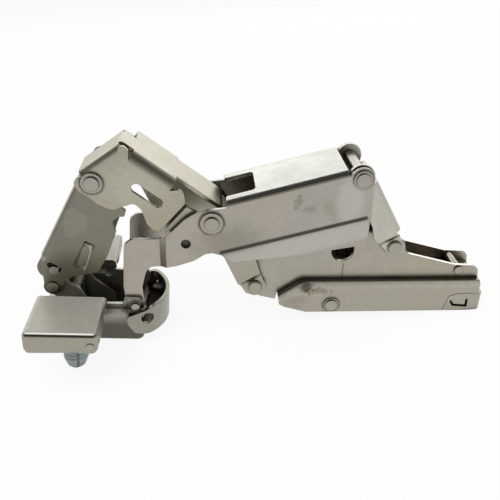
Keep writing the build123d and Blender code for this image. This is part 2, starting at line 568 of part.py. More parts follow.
with BuildPart() as cup:
    extrude(DOOR.location * tub_face(0), amount=-CUP_DEPTH)
    floor_edges = cup.faces().sort_by(Axis.Z)[0].edges()
    fillet(floor_edges, 0.8)
    with BuildSketch(DOOR):
        with Locations(((WING_REAR + 4.3) / 2, 0)):
            Rectangle(4.3 - WING_REAR, 2 * FLANGE_HALF)
        with Locations((TUB_FRONT / 2, 0)):
            Rectangle(TUB_FRONT, 2 * (CUP_HALF + 0.7))
        with Locations(((WING_REAR + WING_FRONT) / 2, 0)):
            RectangleRounded(WING_FRONT - WING_REAR, 2 * WING_HALF, 2.0)
    extrude(amount=SHEET)
    extrude(DOOR.offset(SHEET - CUP_DEPTH).location * tub_face(SHEET), amount=CUP_DEPTH, mode=Mode.SUBTRACT)
    with BuildSketch(DOOR):
        with Locations(((CUT_REAR + TUB_FRONT - SHEET) / 2, 0)):
            Rectangle(TUB_FRONT - SHEET - CUT_REAR, 2 * (CUP_HALF - SHEET))
        with Locations((-DOWEL_OFFSET, DOWEL_SPACING / 2), (-DOWEL_OFFSET, -DOWEL_SPACING / 2)):
            Circle(DOWEL_R)
        with Locations((-5.0, 15.55), (-5.0, -15.55)):
            Rectangle(5.6, 1.7)
    extrude(amount=SHEET, mode=Mode.SUBTRACT)
    with BuildSketch(CUP_SIDE):
        with Locations((CUT_REAR + 4, -0.3)):
            Rectangle(8.0, 3.2)
    extrude(amount=CUP_HALF - SHEET, both=True, mode=Mode.SUBTRACT)
    near_parts = flat_plate(side_face(cup_cheek, plane=CUP_SIDE), CUP_HALF)
    add(near_parts)
    mirror(near_parts, about=Plane.XZ)
    for outer in (WING_HALF, EAR_INNER + SHEET):
        hook = flat_plate(
            side_face(hook_line, [(FLAP_PIN, FLAP_PIN_R + 1.0)], x_max=FLAP_PIN[0] + 1.0, plane=CUP_SIDE), outer)
        add(hook)
        mirror(hook, about=Plane.XZ)
    add(cross_hole(FLAP_PIN, FLAP_PIN_R + RUN, CUP_SIDE), mode=Mode.SUBTRACT)
    add(cross_hole(CUP_PIVOT, PIN_R), mode=Mode.SUBTRACT)
    with BuildSketch(CUP_SIDE):
        with Locations((TUB_FRONT, 0)):
            Rectangle(6.0, 6.4)
    extrude(amount=CUP_HALF - SHEET, both=True, mode=Mode.SUBTRACT)
cup.part.label = "cup"
export_step(cup.part, "parts/cup.step")

BAND_TOP = 2.7
BAND_LOW = -7.3
BAND_HALF = CUP_HALF + 0.7 + SHEET
BAND_REAR = 4.5


def band_face(inset):
    """Plan of the front band's outline, drawn in by an inset."""
    with BuildSketch(Plane.XY, mode=Mode.PRIVATE) as face:
        Circle(CUP_R)
        with Locations((CUP_R / 2, 0)):
            Rectangle(CUP_R, 2 * BAND_HALF, mode=Mode.INTERSECT)
        fillet(face.vertices().filter_by(lambda v: v.X > 5), 4.0)
        if inset:
            offset(amount=-inset, mode=Mode.REPLACE)
    return face.sketch


with BuildPart() as front_band:
    extrude(DOOR.offset(BAND_LOW).location * band_face(0), amount=BAND_TOP - BAND_LOW)
    extrude(DOOR.offset(BAND_LOW).location * band_face(SHEET), amount=BAND_TOP - BAND_LOW, mode=Mode.SUBTRACT)
    band_line = [
        (BAND_REAR, -1.1, 0.8), (12.6, BAND_TOP, 3.0), (FAR, BAND_TOP, 0), (FAR, BAND_LOW, 0), (7.0, BAND_LOW, 1.5),
        (BAND_REAR, BAND_LOW + 3.6, 2.0)]
    extrude(side_face(band_line, plane=CUP_SIDE), amount=CUP_R, both=True, mode=Mode.INTERSECT)
    add(cross_hole(in_cup((-21.0, -34.0)), 2.0, CUP_SIDE), mode=Mode.SUBTRACT)
front_band.part.label = "front_band"
export_step(front_band.part, "parts/front_band.step")

# ---------------------------------------------------------------- inside of the cup
TUB_FLOOR = SHEET - CUP_DEPTH
SPRING_PLACE = (-14.7, 3.1)
SPRING_PIN_R = 1.6
SPRING_R = 3.0
bracket_line = [
    (-21.9, 5.6, 0.5), (-18.2, 1.8, 1.5), (-14.2, 0.6, 1.0), (-14.0, TUB_FLOOR + BEND, 0.2),
    (-1.5, TUB_FLOOR + BEND, 0.2), (-1.5, -4.5, 2.0), (-9.0, 1.5, 2.5), (-11.5, 6.0, 2.5), (-17.8, 9.4, 0.5)]

with BuildPart() as link_bracket:
    add(flat_plate(side_face(bracket_line, [(link_uw, 2.6)], plane=CUP_SIDE), EAR_HALF))
    mirror(about=Plane.XZ)
    add(bent_web((-1.5, TUB_FLOOR), (-14.0, TUB_FLOOR), EAR_HALF, 3.0, CUP_SIDE))
    add(cross_hole(LINK_PIVOT, PIN_R), mode=Mode.SUBTRACT)
    add(cross_hole(SPRING_PLACE, SPRING_PIN_R, CUP_SIDE), mode=Mode.SUBTRACT)
link_bracket.part.label = "link_bracket"
export_step(link_bracket.part, "parts/link_bracket.step")

with BuildPart() as link_rivets:
    add(near_rod(LINK_PIVOT, PIN_R, EAR_HALF - SHEET, LINK_HALF + RUN))
    add(near_rod(LINK_PIVOT, 1.8, LINK_HALF + RUN, LINK_HALF + 0.6))
    mirror(about=Plane.XZ)
link_rivets.part.label = "link_rivets"
export_step(link_rivets.part, "parts/link_rivets.step")

with BuildPart() as cup_axle:
    with BuildSketch(SIDE):
        with Locations(CUP_PIVOT):
            Circle(PIN_R)
    extrude(amount=CUP_HALF + 0.4, both=True)
cup_axle.part.label = "cup_axle"
export_step(cup_axle.part, "parts/cup_axle.step")

with BuildPart() as spring_pin:
    with BuildSketch(CUP_SIDE):
        with Locations(SPRING_PLACE):
            Circle(SPRING_PIN_R)
    extrude(amount=EAR_HALF, both=True)
spring_pin.part.label = "spring_pin"
export_step(spring_pin.part, "parts/spring_pin.step")

SPRING_HALF = EAR_HALF - SHEET - 0.6
with BuildPart() as closing_spring:
    with BuildSketch(CUP_SIDE):
        with Locations(SPRING_PLACE):
            Circle(SPRING_R)
            Circle(SPRING_PIN_R + RUN, mode=Mode.SUBTRACT)
    extrude(amount=SPRING_HALF, both=True)
    add(flat_plate(side_face([
        (SPRING_PLACE[0] + 1.7, SPRING_PLACE[1] + 1.0, 0), (SPRING_PLACE[0] + 2.9, SPRING_PLACE[1], 0.3),
        (-8.2, TUB_FLOOR + SHEET, 0), (-9.4, TUB_FLOOR + SHEET, 0)], plane=CUP_SIDE), SPRING_HALF, 1.1))
    mirror(about=Plane.XZ)
closing_spring.part.label = "closing_spring"
export_step(closing_spring.part, "parts/closing_spring.step")

# ---------------------------------------------------------------- dowels
HEAD_TOP = 2.0
dowel_line = [
    (1.7, HEAD_TOP), (4.6, HEAD_TOP), (4.6, SHEET), (DOWEL_NECK_R, SHEET), (DOWEL_NECK_R, 0), (DOWEL_R, 0),
    (DOWEL_R, 3.0 - DOWEL_LENGTH),
    (2.9, -DOWEL_LENGTH), (1.7, -DOWEL_LENGTH)]
core_line = [
    (0, HEAD_TOP + 0.8), (1.7, HEAD_TOP + 0.8), (1.7, -DOWEL_LENGTH), (2.5, -DOWEL_LENGTH), (2.1, -DOWEL_LENGTH - 0.8),
    (0, -DOWEL_LENGTH - 0.8)]


def dowel_solid(line, y):
    """Turned solid about the axis of a dowel from (radius, w) points."""
    origin = DOOR.from_local_coords(Vector(-DOWEL_OFFSET, y, 0))
    with BuildPart(mode=Mode.PRIVATE) as turned:
        with BuildSketch(Plane(origin=origin, x_dir=DOOR.x_dir, z_dir=(0, -1, 0))) as half:
            with BuildLine():
                Polyline(*line, close=True)
            make_face()
        revolve(axis=Axis(origin, DOOR.z_dir))
    return turned.part


with BuildPart() as dowel_near:
    add(dowel_solid(dowel_line, -DOWEL_SPACING / 2))
dowel_near.part.label = "dowel_near"
export_step(dowel_near.part, "parts/dowel_near.step")

with BuildPart() as dowel_far:
    add(dowel_solid(dowel_line, DOWEL_SPACING / 2))
dowel_far.part.label = "dowel_far"
export_step(dowel_far.part, "parts/dowel_far.step")

with BuildPart() as dowel_core_near:
    add(dowel_solid(core_line, -DOWEL_SPACING / 2))
dowel_core_near.part.label = "dowel_core_near"
export_step(dowel_core_near.part, "parts/dowel_core_near.step")

with BuildPart() as dowel_core_far:
    add(dowel_solid(core_line, DOWEL_SPACING / 2))
dowel_core_far.part.label = "dowel_core_far"
export_step(dowel_core_far.part, "parts/dowel_core_far.step")

# ---------------------------------------------------------------- flaps
FLAP_LOW = -0.7
SKIRT_FROM = 20.0
skirt_line = [
    (FLAP_REAR, FLAP_TOP, 0), (FLAP_FRONT, FLAP_TOP, 0), (FLAP_FRONT, FLAP_LOW - 0.3, 2.3), (-9.0, FLAP_LOW, 2.0),
    (-19.6, FLAP_LOW - 0.3, 0.6), (-22.8, FLAP_LOW - 0.3, 0.6), (FLAP_REAR, FLAP_LOW + 1.4, 0.6)]
lug_line = [(-8.0, FLAP_TOP - 1.0, 0), (-2.4, FLAP_TOP - 1.0, 0), (-2.6, 1.4, 0.4), (-6.6, 1.4, 0.4)]

with BuildPart() as flap_shell:
    with BuildSketch(DOOR.offset(-3)):
        with Locations(((FLAP_REAR + FLAP_FRONT) / 2, -(FLAP_HALF + FLAP_INNER) / 2)):
            Rectangle(FLAP_FRONT - FLAP_REAR, FLAP_HALF - FLAP_INNER)
    extrude(amount=FLAP_TOP + 3)
    crown = flap_shell.edges().filter_by(lambda e: DOOR.to_local_coords(e.center()).Z > FLAP_TOP - 0.01)
    upright = flap_shell.edges().filter_by(
        lambda e: abs(DOOR.to_local_coords(e.center()).Y + FLAP_HALF) < 0.01 and e.length < FLAP_TOP + 4)
    uprights = upright.filter_by(lambda e: abs(DOOR.to_local_coords(e.center()).Z - FLAP_TOP / 2 + 1.5) < 0.1)
    fillet(uprights + crown.filter_by(lambda e: DOOR.to_local_coords(e.center()).Y < -FLAP_INNER - 0.1), 1.4)
    with BuildSketch(DOOR.offset(-3)):
        with Locations(((FLAP_REAR + FLAP_FRONT) / 2, SHEET - FLAP_HALF + 20)):
            Rectangle(FLAP_FRONT - FLAP_REAR - 2 * SHEET, 40)
    extrude(amount=FLAP_TOP + 3 - SHEET, mode=Mode.SUBTRACT)
    extrude(side_face(skirt_line, plane=CUP_SIDE), amount=WING_HALF * 2, both=True, mode=Mode.INTERSECT)
    with BuildSketch(DOOR.offset(-3)):
        with Locations((FLAP_FRONT, -(SKIRT_FROM + FLAP_INNER) / 2)):
            Rectangle(3.4, SKIRT_FROM - FLAP_INNER + 0.01)
    extrude(amount=FLAP_TOP + 3 - BEND, mode=Mode.SUBTRACT)
    with BuildSketch(DOOR.offset(-3)):
        with Locations((FLAP_FRONT - 0.2, -(EAR_OUTER + FLAP_HALF - SHEET) / 2)):
            Rectangle(2.2, FLAP_HALF - EAR_OUTER - SHEET + 0.5)
    extrude(amount=FLAP_TOP + 0.4, mode=Mode.SUBTRACT)
    add(flat_plate(side_face(lug_line, [(FLAP_PIN, 2.1)], plane=CUP_SIDE), EAR_INNER - PLAY))
    add(near_rod(FLAP_PIN, FLAP_PIN_R, EAR_INNER - PLAY - SHEET, FLAP_HALF, CUP_SIDE), mode=Mode.SUBTRACT)

with BuildPart() as flap_near:
    add(flap_shell.part)
flap_near.part.label = "flap_near"
export_step(flap_near.part, "parts/flap_near.step")

with BuildPart() as flap_far:
    mirror(flap_shell.part, about=Plane.XZ)
flap_far.part.label = "flap_far"
export_step(flap_far.part, "parts/flap_far.step")

with BuildPart() as flap_pin_near:
    add(near_rod(FLAP_PIN, FLAP_PIN_R, EAR_INNER - PLAY - SHEET, EAR_INNER + SHEET, CUP_SIDE))
    add(near_rod(FLAP_PIN, FLAP_PIN_R, EAR_OUTER, FLAP_HALF + 0.2, CUP_SIDE))
flap_pin_near.part.label = "flap_pin_near"
export_step(flap_pin_near.part, "parts/flap_pin_near.step")

with BuildPart() as flap_pin_far:
    mirror(flap_pin_near.part, about=Plane.XZ)
flap_pin_far.part.label = "flap_pin_far"
export_step(flap_pin_far.part, "parts/flap_pin_far.step")

# ---------------------------------------------------------------- spring of the catch
with BuildPart() as catch_spring:
    spring_from = TAB_X + SHEET / 2
    with BuildSketch(Plane(origin=(KX + spring_from, 0, KZ + CATCH_TOP - 2.9), x_dir=(0, 1, 0), z_dir=(1, 0, 0))):
        Circle(1.9)
        Circle(1.3, mode=Mode.SUBTRACT)
    extrude(amount=CATCH_BACK - SHEET - spring_from)
catch_spring.part.label = "catch_spring"
export_step(catch_spring.part, "parts/catch_spring.step")
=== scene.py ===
import json
import math

import bmesh
import bpy
from mathutils import Matrix, Vector


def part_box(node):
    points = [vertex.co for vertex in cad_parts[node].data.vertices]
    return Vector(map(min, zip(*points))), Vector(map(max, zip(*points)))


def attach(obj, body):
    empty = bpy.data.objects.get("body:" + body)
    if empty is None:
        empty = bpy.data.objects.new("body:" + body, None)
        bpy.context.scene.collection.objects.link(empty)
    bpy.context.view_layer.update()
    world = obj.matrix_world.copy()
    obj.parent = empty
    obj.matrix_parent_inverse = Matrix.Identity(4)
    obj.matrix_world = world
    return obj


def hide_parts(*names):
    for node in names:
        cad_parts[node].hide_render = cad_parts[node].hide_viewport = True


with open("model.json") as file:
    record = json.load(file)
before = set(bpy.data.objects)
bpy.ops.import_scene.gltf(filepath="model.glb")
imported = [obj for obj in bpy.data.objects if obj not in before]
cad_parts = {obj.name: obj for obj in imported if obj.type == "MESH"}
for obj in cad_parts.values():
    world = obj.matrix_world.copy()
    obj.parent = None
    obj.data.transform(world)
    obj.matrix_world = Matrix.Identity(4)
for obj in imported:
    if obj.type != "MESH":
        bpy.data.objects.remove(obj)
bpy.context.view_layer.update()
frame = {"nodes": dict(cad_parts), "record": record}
NODES = frame["nodes"]
MM = 0.001
UP = (0.0, 0.0, 1.0)
KNEE_AT = (-40.0, 25.0)     # knee pivot in the row frame, x and z (mm)


def knee(x, z):
    """Side-view point given from the knee pivot, in the row frame (mm)."""
    return x + KNEE_AT[0], z + KNEE_AT[1]


# ------------------------------------------------------------------ node trees
BLOT_SCALE = 700.0          # noise that frays the edges of blots


class Tree:
    """Node tree with short calls for the few node kinds the finishes need."""

    def __init__(self, tree):
        self.nodes, self.links = tree.nodes, tree.links
        self.nodes.clear()

    def add(self, kind, **values):
        node = self.nodes.new("ShaderNode" + kind)
        for key, value in values.items():
            setattr(node, key, value)
        return node

    def wire(self, socket, value):
        """Link a socket, or set its value; three numbers also fill a colour."""
        if isinstance(value, bpy.types.NodeSocket):
            self.links.new(value, socket)
        elif isinstance(value, tuple) and len(value) == 3 and len(socket.default_value) == 4:
            socket.default_value = (*value, 1.0)
        else:
            socket.default_value = value

    def math(self, operation, a, b):
        node = self.add("Math", operation=operation)
        self.wire(node.inputs[0], a)
        self.wire(node.inputs[1], b)
        return node.outputs[0]

    def vector_math(self, operation, a, *b):
        node = self.add("VectorMath", operation=operation)
        for socket, item in zip(node.inputs, (a, *b)):
            self.wire(socket, item)
        return node

    def noise(self, coords, scale, detail, rough):
        node = self.add("TexNoise")
        self.wire(node.inputs["Vector"], coords)
        self.wire(node.inputs["Scale"], scale)
        self.wire(node.inputs["Detail"], detail)
        self.wire(node.inputs["Roughness"], rough)
        return node.outputs[0]

    def ramp(self, value, stops):
        node = self.add("ValToRGB")
        elements = node.color_ramp.elements
        while len(elements) < len(stops):
            elements.new(0.5)
        for element, (place, colour) in zip(elements, stops):
            element.position = place
            element.color = (*colour, 1.0)
        self.wire(node.inputs[0], value)
        return node.outputs[0]

    def remap(self, value, a, b, low=0.0, high=1.0):
        node = self.add("MapRange")
        for index, item in enumerate((value, a, b, low, high)):
            self.wire(node.inputs[index], item)
        return node.outputs[0]

    def mix(self, factor, a, b, mode="MIX"):
        node = self.add("Mix", data_type="RGBA", blend_type=mode)
        for index, item in ((0, factor), (6, a), (7, b)):
            self.wire(node.inputs[index], item)
        return node.outputs[2]

    def dot(self, vector, other):
        return self.vector_math("DOT_PRODUCT", vector, other).outputs["Value"]

    def occlusion(self, reach):
        node = self.add("AmbientOcclusion", samples=8)
        self.wire(node.inputs["Distance"], reach * MM)
        return node.outputs["AO"]

    def spot(self, coords, centre, radius, ragged, soft):
        """Mask of a ragged blotch round a point (mm), stretched by three radii (mm)."""
        shifted = self.vector_math("SUBTRACT", coords, tuple(c * MM for c in centre))
        scaled = self.vector_math("DIVIDE", shifted.outputs[0], tuple(r * MM for r in radius))
        reach = self.vector_math("LENGTH", scaled.outputs[0]).outputs["Value"]
        fray = self.remap(self.noise(coords, BLOT_SCALE, 4.0, 0.6), 0.3, 0.7, -ragged, ragged)
        return self.remap(self.math("ADD", reach, fray), 1.0 - soft, 1.0 + soft, 1.0, 0.0)

    def polygon(self, coords, corners, soft):
        """Mask of a convex side-view polygon, its corners clockwise (mm)."""
        mask = None
        for (ax, az), (bx, bz) in zip(corners, corners[1:] + corners[:1]):
            length = math.hypot(bx - ax, bz - az)
            nx, nz = (bz - az) / length, (ax - bx) / length
            away = self.math("SUBTRACT", self.dot(coords, (nx, 0.0, nz)), (nx * ax + nz * az) * MM)
            side = self.remap(away, -soft * MM, soft * MM)
            mask = side if mask is None else self.math("MULTIPLY", mask, side)
        return mask


# ------------------------------------------------------------------ metal finish
BEVEL = 0.25                # radius of the rounded edges and of their painted highlight (mm)
GRAIN, GRAIN_HEIGHT = 0.12, 0.05
DEEP_REACH = 8.0            # how far the shade inside bays and channels looks (mm)
CONTACT_SHADE = (0.030, 0.028, 0.022)
SHADE = (0.085, 0.077, 0.060)
UNDERSIDE_SHADE = (0.085, 0.080, 0.064)


def scaled_colour(colour, by):
    return tuple(c * by for c in colour)


def metal(name, base, dark, rough=(0.25, 0.36), tint=None, spots=(), facing=None, lines=(), shade=None,
          contact=0.85, edge=0.45, depth=0.50, gap=1.2, body=1.0):
    """Satin nickel plate: cloudy tone, fine grain, pits, painted highlights on its edges and painted shade where
    sheets meet.

    spots are (kind, shape, colour, strength), for stains and for painted shade and light. facing recolours the faces
    that turn one way, as painted light, and lines only the narrow bends that do, as painted highlights and shade,
    each with how matt it gets. shade gives a mask for painted shade on what lies in the dark, and body is how
    metallic the rest is.
    """
    mat = bpy.data.materials.new(name)
    mat.use_nodes = True
    t = Tree(mat.node_tree)
    out = t.add("OutputMaterial")
    shader = t.add("BsdfPrincipled")
    t.links.new(shader.outputs[0], out.inputs[0])
    coords = t.add("TexCoord").outputs["Object"]
    cloud = t.noise(coords, 95.0, 3.0, 0.6)
    mottle = t.noise(coords, 420.0, 3.0, 0.65)
    fine = t.noise(coords, 2300.0, 2.0, 0.6)
    pits = t.noise(coords, 560.0, 6.0, 0.75)
    warm = t.noise(coords, 38.0, 2.0, 0.5)

    # tone of the plating
    warm_tint = tint or tuple(c * k for c, k in zip(base, (1.02, 0.95, 0.84)))
    colour = t.mix(t.remap(cloud, 0.36, 0.66), dark, base)
    colour = t.mix(t.remap(warm, 0.42, 0.66, 0.0, 0.55), colour, warm_tint)
    colour = t.mix(t.remap(mottle, 0.30, 0.70, 0.26, 0.0), colour, scaled_colour(base, 0.62))
    colour = t.mix(t.remap(fine, 0.25, 0.75, 0.42, 0.0), colour, scaled_colour(base, 0.66))
    colour = t.mix(t.remap(pits, 0.30, 0.37, 0.20, 0.0), colour, scaled_colour(base, 0.45))
    if shade:
        # painted shade on what lies under the mask's level
        colour = t.mix(shade(t, coords), colour, UNDERSIDE_SHADE)

    # faces that turn one way, in painted light, and stains with painted shade and light
    shine = body
    if facing:
        way, lit, matt = facing
        turned = t.remap(t.dot(t.add("TexCoord").outputs["Normal"], way), 0.70, 0.93)
        patchy = t.mix(t.remap(mottle, 0.3, 0.7, 0.0, 0.5), (1.0, 1.0, 1.0), (0.78, 0.78, 0.76))
        colour = t.mix(turned, colour, t.mix(1.0, lit, patchy, "MULTIPLY"))
        shine = t.remap(turned, 0.0, 1.0, body, 1.0 - matt)
    for kind, shape, spot_colour, strength in spots:
        mask = t.polygon(coords, *shape) if kind == "polygon" else t.spot(coords, *shape)
        colour = t.mix(t.math("MULTIPLY", mask, strength), colour, spot_colour)

    # painted highlights on edges, painted light and shade on bends, and painted shade where sheets meet and where
    # light doesn't reach
    bevel = t.add("Bevel", samples=4)
    t.wire(bevel.inputs["Radius"], BEVEL * MM)
    edge_highlight = t.remap(t.dot(bevel.outputs[0], t.add("NewGeometry").outputs["Normal"]), 0.80, 0.985, edge, 0.0)
    colour = t.mix(edge_highlight, colour, tuple(min(1.0, c * 1.7) for c in base))
    for way, line_colour, matt in lines:
        bend = t.remap(t.dot(t.add("TexCoord").outputs["Normal"], way), 0.972, 0.990)
        colour = t.mix(bend, colour, line_colour)
        shine = t.math("MULTIPLY", shine, t.remap(bend, 0.0, 1.0, 1.0, 1.0 - matt))
    colour = t.mix(t.remap(t.occlusion(gap), 0.35, 0.92, contact, 0.0), colour, CONTACT_SHADE)
    colour = t.mix(t.remap(t.occlusion(DEEP_REACH), 0.15, 0.75, depth, 0.0), colour, SHADE)

    t.wire(shader.inputs["Base Color"], colour)
    t.wire(shader.inputs["Metallic"], shine)
    gloss = t.remap(cloud, 0.3, 0.7, rough[0], rough[1])
    t.wire(shader.inputs["Roughness"], t.math("ADD", gloss, t.remap(fine, 0.3, 0.7, -0.03, 0.04)))
    bump = t.add("Bump")
    t.wire(bump.inputs["Strength"], GRAIN)
    t.wire(bump.inputs["Distance"], GRAIN_HEIGHT * MM)
    t.wire(bump.inputs["Height"], t.math("ADD", fine, t.math("MULTIPLY", mottle, 0.8)))
    t.wire(bump.inputs["Normal"], bevel.outputs[0])
    t.wire(shader.inputs["Normal"], bump.outputs[0])
    return mat


# ------------------------------------------------------------------ stains, painted shadow rings and painted light and shade, seen from the knee
LEVER_Y, LINK_Y, CASING_Y, ARM_Y = -12.0, -8.8, -9.5, -6.0      # their levels across the hinge (mm)
KNEE_PIN, ELBOW, REAR_EARS = (0.0, 0.0), (-35.1, 13.0), (45.5, 14.4)
BASE_FRONT, BASE_REAR, CASING_RIVET, CUP_PIN = (14.5, -25.8), (60.0, -11.4), (40.2, -31.8), (-24.8, -30.6)
RIVET_SHADOW = (0.060, 0.055, 0.042)


def stain_and_shade(place, y, radius, ragged, soft, colour, strength):
    """Ragged blot of three radii (mm) on a side face, used for stains and for painted shade."""
    x, z = knee(*place)
    return "spot", ((x, y, z), radius, ragged, soft), colour, strength


def shadow_ring(place, y, radius, strength):
    """Painted shadow ring round a rivet head."""
    return stain_and_shade(place, y, (radius, 9.0, radius), 0.06, 0.10, RIVET_SHADOW, strength)


def area(corners, soft, colour, strength):
    """Soft-edged polygon on a side face."""
    return "polygon", (corners, soft), colour, strength


CREASE_END, CREASE_SLOPE = (2.9, -10.2), math.radians(14.9)


def crease_band(first, last, low, high):
    """Corners of a strip along the main lever's lower step, clockwise."""
    along = (math.cos(CREASE_SLOPE), math.sin(CREASE_SLOPE))
    return [knee(CREASE_END[0] + along[0] * t - along[1] * n, CREASE_END[1] + along[1] * t + along[0] * n)
            for t, n in ((first, low), (first, high), (last, high), (last, low))]


def below(level, soft):
    """Mask of what lies under a level (mm), for painted shade."""
    def mask(t, coords):
        return t.remap(t.dot(coords, UP), (level - soft) * MM, (level + soft) * MM, 0.90, 0.0)
    return mask


LINK_STAIN = [knee(*at) for at in (
    (-44.6, 2.7), (-41.3, 3.8), (-38.0, 0.1), (-38.5, -3.1), (-43.5, -6.7), (-45.7, -5.9))]
# painted shade along the crease in the arm's wall
ARM_CREASE_SHADE = [knee(*at) for at in ((44.1, -18.0), (44.1, -24.6), (43.6, -24.6), (43.6, -18.0))]

# ------------------------------------------------------------------ finishes
LEVER = metal(
    # painted light: the lever's upward faces are lighter
    "nickel_lever", (0.455, 0.425, 0.375), (0.395, 0.37, 0.325), facing=(UP, (0.49, 0.495, 0.46), 0.0),
    spots=[
        # painted shadow rings round the knee and rear-ear rivets
        shadow_ring(KNEE_PIN, LEVER_Y, 4.2, 0.75),
        shadow_ring(REAR_EARS, LEVER_Y, 3.4, 0.5),
        # darker patch by the knee
        stain_and_shade((5.5, -7.2), LEVER_Y, (9.5, 3.0, 6.0), 0.25, 0.5, (0.21, 0.19, 0.155), 0.50),
        stain_and_shade((26.6, 6.6), LEVER_Y, (1.5, 3.0, 1.9), 1.0, 0.25, (0.17, 0.15, 0.11), 0.50),
        stain_and_shade((29.6, 4.6), LEVER_Y, (2.0, 3.0, 1.0), 1.1, 0.25, (0.20, 0.18, 0.14), 0.40),
        stain_and_shade((37.0, 4.8), LEVER_Y, (2.6, 3.0, 2.6), 1.1, 0.25, (0.26, 0.24, 0.19), 0.35),
        stain_and_shade((42.3, 7.0), LEVER_Y, (4.2, 3.0, 7.5), 0.15, 0.25, (0.50, 0.50, 0.44), 0.55),
        # painted light: the strip below the lever's lower step is lighter
        area(crease_band(1.0, 47.0, -7.5, -1.6), 0.7, (0.53, 0.51, 0.455), 0.50),
        # painted shade in the crease of the lever's lower step
        area(crease_band(-0.5, 47.0, -1.0, 0.50), 0.28, (0.040, 0.036, 0.028), 0.93)])
BOOM = metal("nickel_boomerang", (0.435, 0.415, 0.34), (0.375, 0.355, 0.285), spots=[
    # painted shadow ring round the elbow rivet
    shadow_ring(ELBOW, LEVER_Y, 3.9, 0.75),
    stain_and_shade((-22.0, 12.0), LEVER_Y, (9.0, 9.0, 7.0), 0.3, 0.5, (0.56, 0.54, 0.45), 0.35)])
FRONT = metal(
    "nickel_front_link", (0.255, 0.248, 0.203), (0.205, 0.198, 0.162),
    # painted light: the web turned forward and up is lighter and less metallic
    facing=((-0.9, 0.0, 0.43), (0.56, 0.55, 0.49), 0.4),
    spots=[
        area(LINK_STAIN, 0.35, (0.40, 0.40, 0.35), 0.15),
        # darker patch low on the front link
        stain_and_shade((-45.5, -17.0), LINK_Y, (7.0, 3.0, 5.0), 0.3, 0.5, (0.13, 0.12, 0.09), 0.45)])
REAR = metal("nickel_rear_link", (0.58, 0.565, 0.50), (0.50, 0.49, 0.43))
ARM = metal(
    # stronger painted highlights on the edges
    "nickel_arm", (0.45, 0.42, 0.36), (0.395, 0.37, 0.315), depth=0.4, edge=0.7,
    # painted highlight along the narrow bends that turn up
    lines=[((0.23, 0.0, 0.973), (0.95, 0.94, 0.88), 0.6)],
    spots=[
        # painted shade along the crease in the arm's wall
        area(ARM_CREASE_SHADE, 0.2, (0.12, 0.11, 0.085), 0.7),
        # painted shadow rings round the base rivets
        shadow_ring(BASE_REAR, ARM_Y, 2.9, 0.6),
        shadow_ring(BASE_FRONT, ARM_Y, 2.7, 0.6)])
CASING = metal(
    "nickel_casing", (0.43, 0.405, 0.345), (0.375, 0.35, 0.30),
    # painted light: the bend turned out and up gets its own colour and goes matt
    facing=((0.0, -0.75, 0.66), (0.42, 0.40, 0.34), 0.85),
    spots=[
        # painted shadow ring round the casing rivet
        shadow_ring(CASING_RIVET, CASING_Y, 3.2, 0.6),
        stain_and_shade((31.5, -25.4), CASING_Y, (2.7, 3.0, 1.6), 0.5, 0.35, (0.060, 0.052, 0.036), 0.90),
        stain_and_shade((36.5, -26.6), CASING_Y, (3.0, 3.0, 1.2), 0.9, 0.4, (0.16, 0.14, 0.10), 0.50),
        stain_and_shade((28.0, -30.5), CASING_Y, (3.5, 3.0, 2.0), 0.9, 0.5, (0.22, 0.20, 0.155), 0.40)])
CUP = metal(
    # painted shade on what lies below -11 mm
    "nickel_cup", (0.34, 0.33, 0.275), (0.28, 0.27, 0.225), shade=below(-11.0, 1.5),
    # painted light: the upward faces are lighter and more matt
    facing=(UP, (0.66, 0.66, 0.60), 0.5), body=0.75,
    # painted shade round the cup pin
    spots=[stain_and_shade(CUP_PIN, LEVER_Y, (3.6, 3.0, 3.0), 0.4, 0.3, (0.035, 0.032, 0.024), 0.85)])
BAND = metal("nickel_band", (0.36, 0.35, 0.29), (0.28, 0.275, 0.225))
FLAP = metal(
    "nickel_flap", (0.42, 0.405, 0.345), (0.365, 0.35, 0.295), rough=(0.36, 0.46), depth=0.2,
    # painted light: the top is lighter and matt
    facing=(UP, (0.50, 0.488, 0.425), 0.72),
    # painted highlight on the upper part of the top front bend, painted shade on its lower part
    lines=[((0.0, -0.46, 0.888), (0.86, 0.85, 0.79), 0.9), ((0.0, -0.87, 0.50), (0.11, 0.10, 0.08), 0.0)])
# painted shade: a darker, less metallic copy of the nickel for parts that lie in shadow
DARK = metal("nickel_shaded", (0.24, 0.225, 0.18), (0.17, 0.16, 0.125), rough=(0.30, 0.42), depth=0.3, body=0.55)
PIN = metal("nickel_pin", (0.43, 0.405, 0.355), (0.36, 0.34, 0.295), rough=(0.22, 0.34), contact=0.97)
SPRING = metal("spring_wire", (0.36, 0.35, 0.31), (0.24, 0.23, 0.20))
ZINC = metal(
    "dowel_zinc", (0.40, 0.45, 0.45), (0.25, 0.29, 0.295), rough=(0.38, 0.50), tint=(0.27, 0.32, 0.33), gap=0.7)
# painted shade: near-black nickel for blanks where holes show only shadow
DEEP = metal("nickel_deep", (0.085, 0.080, 0.064), (0.055, 0.052, 0.042), rough=(0.40, 0.52), body=0.4)
# painted highlight on one sloping rim of the pressed rectangle, painted shade on the other
PAD = metal("nickel_pad", (0.265, 0.258, 0.212), (0.215, 0.208, 0.17), lines=[
    ((0.285, -0.954, -0.09), (0.36, 0.35, 0.30), 0.6), ((-0.285, -0.954, 0.09), (0.10, 0.095, 0.075), 0.0)])
CONE = metal("cone_steel", (0.14, 0.16, 0.17), (0.08, 0.095, 0.10), rough=(0.4, 0.5))

BY_SLOT = {"nickel_sheet": ARM, "nickel_pins": PIN, "spring_steel": SPRING, "dowel_zinc": ZINC, "cone_steel": CONE}
